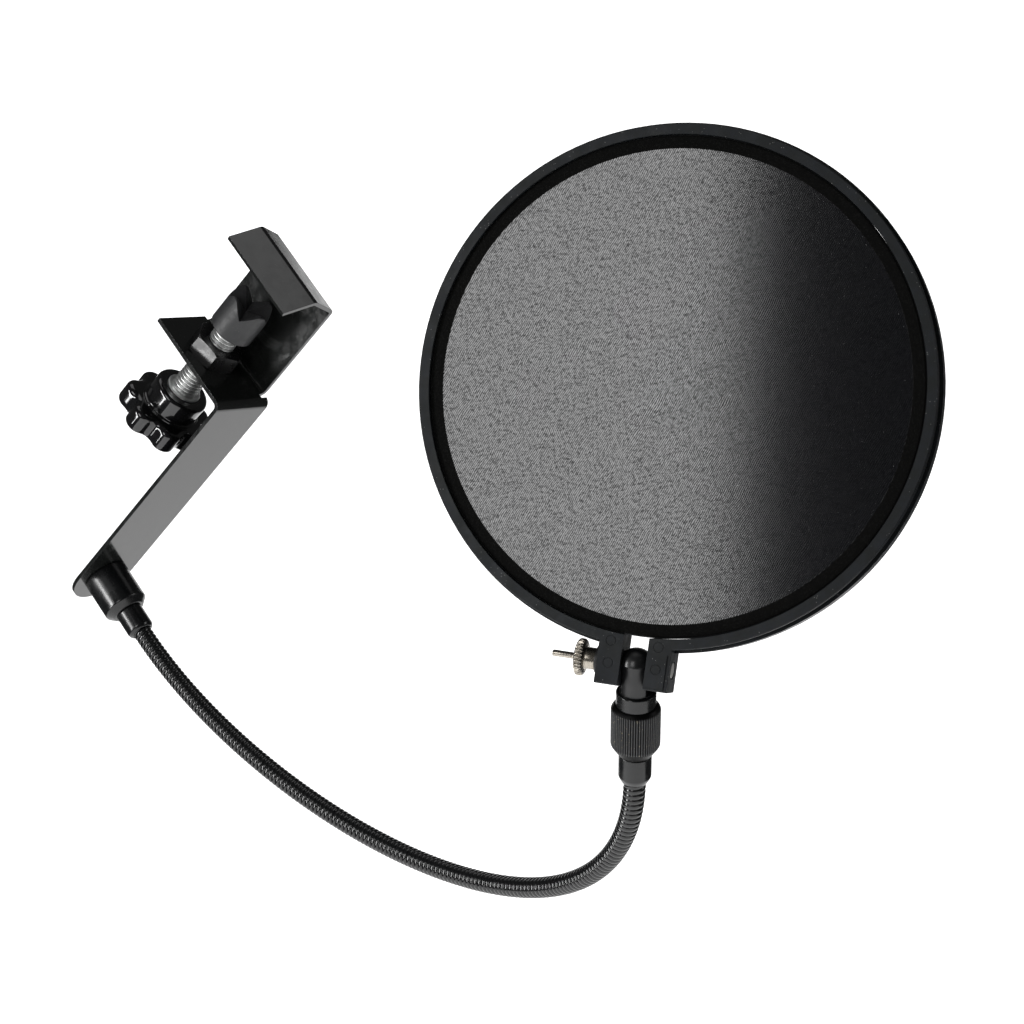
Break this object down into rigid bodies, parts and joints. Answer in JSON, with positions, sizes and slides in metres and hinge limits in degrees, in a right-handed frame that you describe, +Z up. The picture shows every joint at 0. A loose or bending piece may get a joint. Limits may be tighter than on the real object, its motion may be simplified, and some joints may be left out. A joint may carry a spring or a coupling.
{
  "type": "pop filter",
  "caption": "Round double-mesh pop filter on a flexible gooseneck with a steel screw clamp for a microphone stand.",
  "frame": {"origin": "centre of the jaw, on the axis of the stand tube that the clamp grips", "axes": "+Z up as the filter stands in use, +Y away from the speaker's side, +X from the clamp towards the hoop"},
  "size_m": [0.289, 0.2265, 0.2433],
  "materials": {
    "painted_steel": "gloss black paint over sheet steel",
    "black_oxide_steel": "black finish, semi-gloss",
    "zinc_steel": "bright zinc plate",
    "knob_plastic": "glossy moulded black",
    "pad_plastic": "matt moulded black",
    "satin_black_metal": "satin black anodised look",
    "gooseneck_steel": "gloss black flexible tube",
    "hoop_plastic": "satin moulded dark blue-grey",
    "inner_hoop_plastic": "matt black",
    "nylon_mesh": "fine woven nylon",
    "nickel_steel": "warm nickel plate",
    "washer_plastic": "black"
  },
  "bodies": {
    "clamp": {"bracket": "painted_steel", "clamp_nut": "black_oxide_steel", "base_screw": "black_oxide_steel"},
    "pad_slide": {"jaw_pad": "pad_plastic", "pad_snap_ring": "black_oxide_steel"},
    "screw": {"clamp_screw": "zinc_steel", "clamp_knob": "knob_plastic"},
    "neck_base": {"base_socket": "satin_black_metal", "base_ferrule": "satin_black_metal", "gooseneck_01": "gooseneck_steel"},
    "neck_02": {"gooseneck_02": "gooseneck_steel"},
    "neck_03": {"gooseneck_03": "gooseneck_steel"},
    "neck_04": {"gooseneck_04": "gooseneck_steel"},
    "neck_05": {"gooseneck_05": "gooseneck_steel"},
    "neck_06": {"gooseneck_06": "gooseneck_steel"},
    "neck_07": {"gooseneck_07": "gooseneck_steel"},
    "neck_08": {"gooseneck_08": "gooseneck_steel"},
    "neck_tip": {"gooseneck_09": "gooseneck_steel", "tip_ferrule": "satin_black_metal", "collet_sleeve": "satin_black_metal"},
    "collar": {"lock_collar": "satin_black_metal"},
    "stub": {"swivel_stub": "satin_black_metal"},
    "hoop": {"outer_ring": "hoop_plastic", "inner_hoop": "inner_hoop_plastic", "front_mesh": "nylon_mesh", "rear_mesh": "nylon_mesh", "lug_insert": "zinc_steel"},
    "washer": {"thumb_washer": "washer_plastic"},
    "thumb": {"thumb_screw": "nickel_steel"}
  },
  "joints": [
    {"name": "jaw_travel", "type": "slide", "parent": "clamp", "child": "pad_slide", "axis": [0.592, -0.5004, 0.6317], "range_m": [-0.0055, 0.015]},
    {"name": "clamp_screw_turn", "type": "hinge", "parent": "pad_slide", "child": "screw", "pos_m": [-0.02244, 0.01874, -0.0219], "axis": [0.592, -0.5004, 0.6317], "range_deg": [-1321, 3601]},
    {"name": "base_swivel", "type": "hinge", "parent": "clamp", "child": "neck_base", "pos_m": [-0.06663, 0.0597, -0.10119], "axis": [0.5545, -0.3158, -0.7699], "range_deg": [-40, 40]},
    {"name": "neck_curl_1", "type": "hinge", "parent": "neck_base", "child": "neck_02", "pos_m": [-0.04123, 0.04542, -0.13502], "axis": [-0.4285, -0.902, 0.0524], "range_deg": [-12, 4]},
    {"name": "neck_sway_1", "type": "hinge", "parent": "neck_02", "child": "neck_03", "pos_m": [-0.01758, 0.03257, -0.15788], "axis": [0.4176, -0.4383, 0.7959], "range_deg": [-8, 8]},
    {"name": "neck_curl_2", "type": "hinge", "parent": "neck_03", "child": "neck_04", "pos_m": [0.00829, 0.01745, -0.17653], "axis": [-0.6312, -0.7127, -0.306], "range_deg": [-12, 4]},
    {"name": "neck_sway_2", "type": "hinge", "parent": "neck_04", "child": "neck_05", "pos_m": [0.03519, -0.00048, -0.1907], "axis": [-0.0115, -0.5258, 0.8505], "range_deg": [-8, 8]},
    {"name": "neck_curl_3", "type": "hinge", "parent": "neck_05", "child": "neck_06", "pos_m": [0.06199, -0.02166, -0.19951], "axis": [-0.6378, -0.618, -0.4597], "range_deg": [-12, 4]},
    {"name": "neck_sway_3", "type": "hinge", "parent": "neck_06", "child": "neck_07", "pos_m": [0.08713, -0.04628, -0.20135], "axis": [-0.3848, -0.2645, 0.8843], "range_deg": [-8, 8]},
    {"name": "neck_curl_4", "type": "hinge", "parent": "neck_07", "child": "neck_08", "pos_m": [0.10799, -0.0735, -0.19367], "axis": [-0.6648, -0.6211, -0.4151], "range_deg": [-12, 4]},
    {"name": "neck_sway_4", "type": "hinge", "parent": "neck_08", "child": "neck_tip", "pos_m": [0.12024, -0.09947, -0.17373], "axis": [-0.6547, 0.4862, 0.5788], "range_deg": [-8, 8]},
    {"name": "lock_collar_turn", "type": "hinge", "parent": "neck_tip", "child": "collar", "pos_m": [0.12154, -0.11936, -0.14079], "axis": [-0.0091, -0.4725, 0.8813], "range_deg": [0, 120]},
    {"name": "head_swivel", "type": "hinge", "parent": "neck_tip", "child": "stub", "pos_m": [0.1215, -0.12172, -0.13638], "axis": [-0.0091, -0.4725, 0.8813], "range_deg": [-90, 90]},
    {"name": "hoop_tilt", "type": "hinge", "parent": "stub", "child": "hoop", "pos_m": [0.12136, -0.12881, -0.12316], "axis": [0.9561, -0.2622, -0.1307], "range_deg": [-60, 50]},
    {"name": "thumb_travel", "type": "slide", "parent": "hoop", "child": "washer", "axis": [-0.9561, 0.2622, 0.1307], "range_m": [0, 0.001]},
    {"name": "thumb_screw_turn", "type": "hinge", "parent": "washer", "child": "thumb", "pos_m": [0.10989, -0.12566, -0.1216], "axis": [-0.9561, 0.2622, 0.1307], "range_deg": [0, 721]}
  ],
  "couplings": [
    {"joint": "clamp_screw_turn", "follows": "jaw_travel", "rad_per_m": 4188.8},
    {"joint": "thumb_screw_turn", "follows": "thumb_travel", "rad_per_m": 12566}
  ]
}
